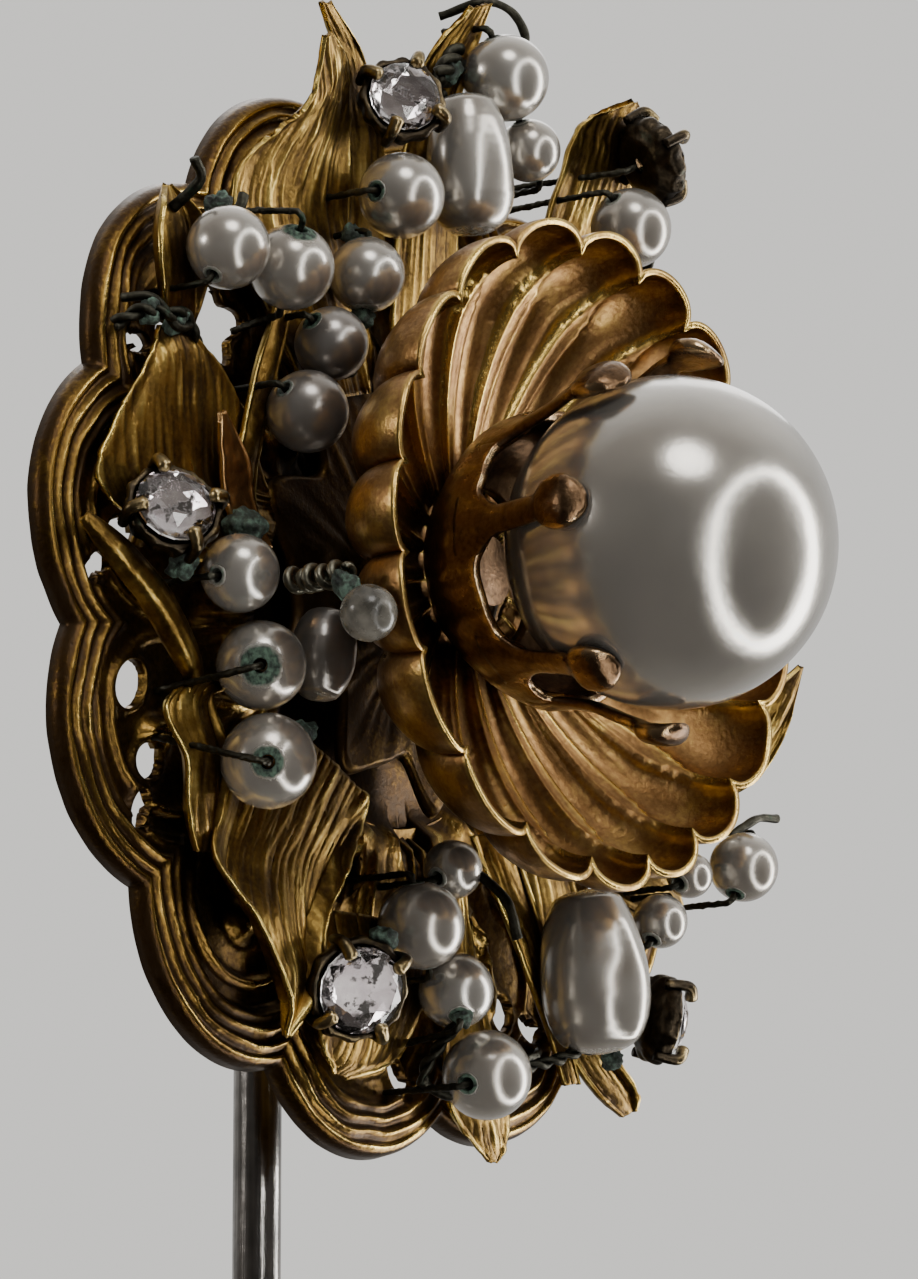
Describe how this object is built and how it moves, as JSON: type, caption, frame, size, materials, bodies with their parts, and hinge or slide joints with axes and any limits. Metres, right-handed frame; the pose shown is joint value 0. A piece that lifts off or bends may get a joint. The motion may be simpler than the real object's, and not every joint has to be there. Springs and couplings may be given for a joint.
{
  "type": "hat pin",
  "caption": "Hat pin: a long pointed steel shaft with a round filigree head, a fluted cup and big pearl at its middle, wreathed with wired seed pearls and rhinestones.",
  "frame": {"origin": "on the pin's axis, level with the lower edge of the head", "axes": "+Z along the pin towards the head, -Y out of the head's face"},
  "size_m": [0.0398, 0.0263, 0.1535],
  "materials": {
    "pin_steel": "polished, lightly tarnished",
    "gilt_brass": "antique gilt, dark brown in the recesses",
    "leaf_brass": "antique gilt, worn bright on the ridges",
    "cup_bronze": "polished rose-bronze with a bright edge",
    "setting_brass": "satin",
    "big_pearl": "pearl lustre",
    "seed_pearl": "pearl lustre",
    "dark_pearl": "pearl lustre, dulled",
    "clear_glass": "clear",
    "rhinestone": "faceted, clear",
    "stone_setting_metal": "tarnished nearly black",
    "wire": "dark with green verdigris"
  },
  "bodies": {
    "head": {"pin_shaft": "pin_steel", "base_filigree": "gilt_brass", "back_plate": "gilt_brass", "socket_tube": "gilt_brass", "leaf_layer": "leaf_brass", "swirl_cup": "cup_bronze", "prong_setting": "setting_brass", "centre_rivet": "setting_brass", "centre_pearl": "big_pearl", "upper_left_pearl_1": "seed_pearl", "upper_left_pearl_3": "seed_pearl", "upper_left_pearl_4": "dark_pearl", "upper_left_pearl_5": "dark_pearl", "top_pearl_1": "seed_pearl", "top_pearl_4": "seed_pearl", "left_pearl_1": "seed_pearl", "lower_pearl_1": "seed_pearl", "lower_pearl_2": "seed_pearl", "lower_right_pearl_1": "seed_pearl", "lower_right_pearl_2": "seed_pearl", "lower_right_pearl_3": "seed_pearl", "right_pearl_1": "seed_pearl", "right_pearl_2": "seed_pearl", "right_pearl_3": "seed_pearl", "right_pearl_4": "seed_pearl", "right_pearl_5": "seed_pearl", "right_pearl_6": "seed_pearl", "right_pearl_7": "seed_pearl", "top_drop_pearl": "seed_pearl", "lower_right_baroque_pearl": "seed_pearl", "left_dark_pearl": "dark_pearl", "glass_bead": "clear_glass", "top_left_stone": "rhinestone", "top_left_stone_setting": "stone_setting_metal", "top_right_stone": "rhinestone", "top_right_stone_setting": "stone_setting_metal", "left_stone": "rhinestone", "left_stone_setting": "stone_setting_metal", "lower_left_stone": "rhinestone", "lower_left_stone_setting": "stone_setting_metal", "lower_right_stone": "rhinestone", "lower_right_stone_setting": "stone_setting_metal", "right_stone": "rhinestone", "right_stone_setting": "stone_setting_metal", "upper_left_wires": "wire", "top_wires": "wire", "left_wires": "wire", "lower_wires": "wire", "right_wires": "wire", "stone_posts": "wire", "coil_wire": "wire", "rim_wraps": "wire"},
    "upper_left_pearl_2_body": {"upper_left_pearl_2": "seed_pearl"},
    "top_pearl_2_body": {"top_pearl_2": "seed_pearl"},
    "top_pearl_3_body": {"top_pearl_3": "seed_pearl"},
    "left_pearl_2_body": {"left_pearl_2": "seed_pearl"},
    "left_pearl_3_body": {"left_pearl_3": "seed_pearl"},
    "lower_pearl_3_body": {"lower_pearl_3": "seed_pearl"},
    "lower_pearl_4_body": {"lower_pearl_4": "seed_pearl"}
  },
  "joints": [
    {"name": "upper_left_pearl_2_spin", "type": "hinge", "parent": "head", "child": "upper_left_pearl_2_body", "pos_m": [-0.0101, -0.0094, 0.0315], "axis": [-0.3522, -0.5535, 0.7547], "continuous": true},
    {"name": "top_pearl_2_spin", "type": "hinge", "parent": "head", "child": "top_pearl_2_body", "pos_m": [0.0024, -0.0097, 0.0414], "axis": [-0.5145, 0, 0.8575], "continuous": true},
    {"name": "top_pearl_3_spin", "type": "hinge", "parent": "head", "child": "top_pearl_3_body", "pos_m": [0.0039, -0.0097, 0.0389], "axis": [-0.5145, 0, 0.8575], "continuous": true},
    {"name": "left_pearl_2_spin", "type": "hinge", "parent": "head", "child": "left_pearl_2_body", "pos_m": [-0.0113, -0.0091, 0.0169], "axis": [-0.7783, -0.5987, -0.1896], "continuous": true},
    {"name": "left_pearl_3_spin", "type": "hinge", "parent": "head", "child": "left_pearl_3_body", "pos_m": [-0.0111, -0.0093, 0.0135], "axis": [-0.7783, -0.5987, -0.1896], "continuous": true},
    {"name": "lower_pearl_3_spin", "type": "hinge", "parent": "head", "child": "lower_pearl_3_body", "pos_m": [0.0005, -0.0088, 0.0067], "axis": [-0.4575, -0.4575, -0.7625], "continuous": true},
    {"name": "lower_pearl_4_spin", "type": "hinge", "parent": "head", "child": "lower_pearl_4_body", "pos_m": [0.0017, -0.0093, 0.0037], "axis": [0.9407, 0.1517, 0.3034], "continuous": true}
  ]
}
